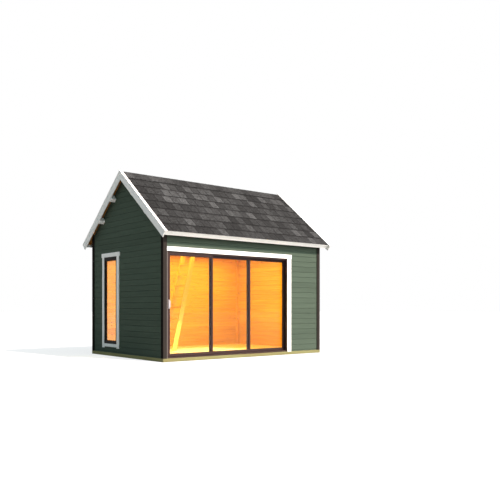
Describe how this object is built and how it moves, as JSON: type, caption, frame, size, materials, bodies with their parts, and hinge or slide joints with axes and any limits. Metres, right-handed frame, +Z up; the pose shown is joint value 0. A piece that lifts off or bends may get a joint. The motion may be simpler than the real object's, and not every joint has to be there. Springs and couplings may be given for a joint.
{
  "type": "garden shed",
  "caption": "Board-walled garden shed with a steep shingle roof, a wide sliding glass door, a tall gable window, a loft and a ladder.",
  "frame": {"origin": "on the ground at the centre of the plan", "axes": "+X along the eaves, to the right of someone facing the sliding door; +Y from the door wall to the back wall; +Z up"},
  "size_m": [4.732, 3.4778, 4.0349],
  "materials": {
    "painted_boards": "green-painted planed spruce wall boards, satin",
    "dark_trim": "dark stained spruce trim, matt",
    "white_trim": "white-painted planed spruce trim, satin",
    "natural_spruce": "planed untreated spruce",
    "treated_pine": "pressure-treated sawn pine",
    "shingles": "mineral-faced bitumen shingles, matt",
    "bronze_aluminium": "dark bronze powder-coated aluminium, satin",
    "glass": "clear sealed-unit glass",
    "handle_metal": "satin anodised aluminium"
  },
  "bodies": {
    "shed": {"base_long_beams": "treated_pine", "base_end_beams": "treated_pine", "floor_joists": "treated_pine", "floor_boards": "natural_spruce", "front_wall_left": "painted_boards", "front_wall_right": "painted_boards", "front_wall_head": "painted_boards", "back_wall": "painted_boards", "left_gable_wall": "painted_boards", "right_gable_wall": "painted_boards", "front_corner_boards": "dark_trim", "back_corner_boards": "dark_trim", "inner_corner_posts": "natural_spruce", "purlins": "white_trim", "ridge_beam": "white_trim", "front_roof_boards": "natural_spruce", "back_roof_boards": "natural_spruce", "front_shingles": "shingles", "back_shingles": "shingles", "ridge_strip": "shingles", "eave_fascias": "white_trim", "front_bargeboards": "white_trim", "back_bargeboards": "white_trim", "front_cap_boards": "white_trim", "back_cap_boards": "white_trim", "door_jambs": "bronze_aluminium", "door_head": "bronze_aluminium", "door_sill": "bronze_aluminium", "door_head_casing": "white_trim", "door_jamb_casing": "white_trim", "right_leaf_frame": "bronze_aluminium", "right_leaf_glass": "glass", "window_frame": "dark_trim", "window_glass": "glass", "window_head_casing": "white_trim", "window_side_casings": "white_trim", "window_apron": "white_trim", "ladder_stringers": "natural_spruce", "ladder_treads": "natural_spruce", "loft_joists": "natural_spruce", "loft_boards": "natural_spruce"},
    "left_leaf": {"left_leaf_frame": "bronze_aluminium", "left_leaf_glass": "glass", "left_leaf_handle": "handle_metal"},
    "middle_leaf": {"middle_leaf_frame": "bronze_aluminium", "middle_leaf_glass": "glass"}
  },
  "joints": [
    {"name": "left_leaf_slide", "type": "slide", "parent": "shed", "child": "left_leaf", "axis": [1, 0, 0], "range_m": [0, 2.154]},
    {"name": "middle_leaf_slide", "type": "slide", "parent": "shed", "child": "middle_leaf", "axis": [1, 0, 0], "range_m": [0, 1.077]}
  ]
}
